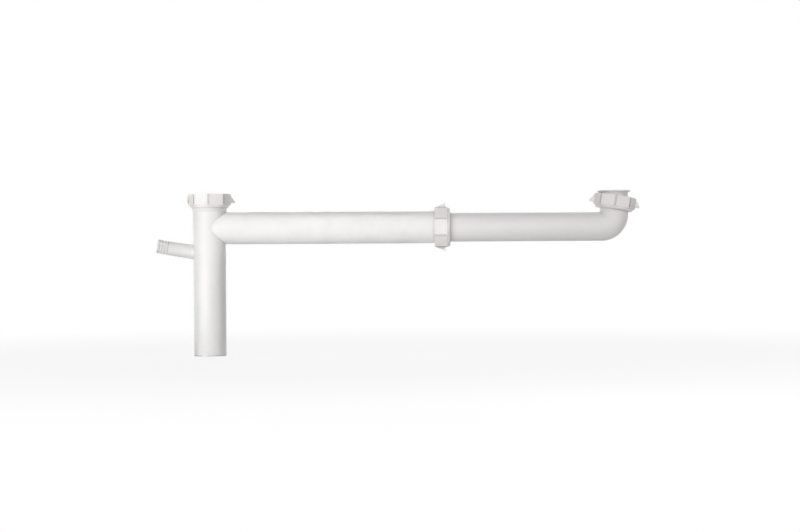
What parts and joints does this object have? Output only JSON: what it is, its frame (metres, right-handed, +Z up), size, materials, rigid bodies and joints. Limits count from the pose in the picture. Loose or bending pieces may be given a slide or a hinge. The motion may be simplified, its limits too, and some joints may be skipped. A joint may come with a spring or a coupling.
{
  "type": "end outlet waste pipe",
  "caption": "White plastic end outlet waste for a double bowl sink: baffle tee with hose branch and long arm, telescoping slip pipe with elbow, and winged coupling nuts.",
  "frame": {"origin": "centre of the tee's outlet end, on the upright's axis", "axes": "+Z up the tee towards its inlet, +X along the arm towards the elbow"},
  "size_m": [0.6349, 0.0554, 0.2134],
  "materials": {
    "tube_plastic": "smooth satin moulded white",
    "nut_plastic": "smooth satin moulded white",
    "seal_plastic": "soft milky sealing ring"
  },
  "bodies": {
    "tee": {"waste_tee": "tube_plastic"},
    "tee_nut": {"tee_nut": "nut_plastic"},
    "slip_nut": {"slip_nut": "nut_plastic"},
    "seal": {"slip_washer": "seal_plastic"},
    "elbow": {"slip_elbow": "tube_plastic"},
    "elbow_nut": {"elbow_nut": "nut_plastic"}
  },
  "joints": [
    {"name": "tee_nut_turn", "type": "hinge", "parent": "tee", "child": "tee_nut", "pos_m": [0, 0, 0.1924], "axis": [0, 0, 1], "continuous": true},
    {"name": "slip_nut_turn", "type": "hinge", "parent": "tee", "child": "slip_nut", "pos_m": [0.30399, 0, 0.166], "axis": [0.9945, -0.1045, 0], "continuous": true},
    {"name": "elbow_swivel", "type": "hinge", "parent": "tee", "child": "seal", "pos_m": [0.30399, 0, 0.166], "axis": [1, 0, 0], "continuous": true},
    {"name": "arm_slide", "type": "slide", "parent": "seal", "child": "elbow", "axis": [1, 0, 0], "range_m": [-0.165, 0.03]},
    {"name": "elbow_nut_turn", "type": "hinge", "parent": "elbow", "child": "elbow_nut", "pos_m": [0.532, 0, 0.19], "axis": [0.1564, 0, 0.9877], "continuous": true}
  ]
}
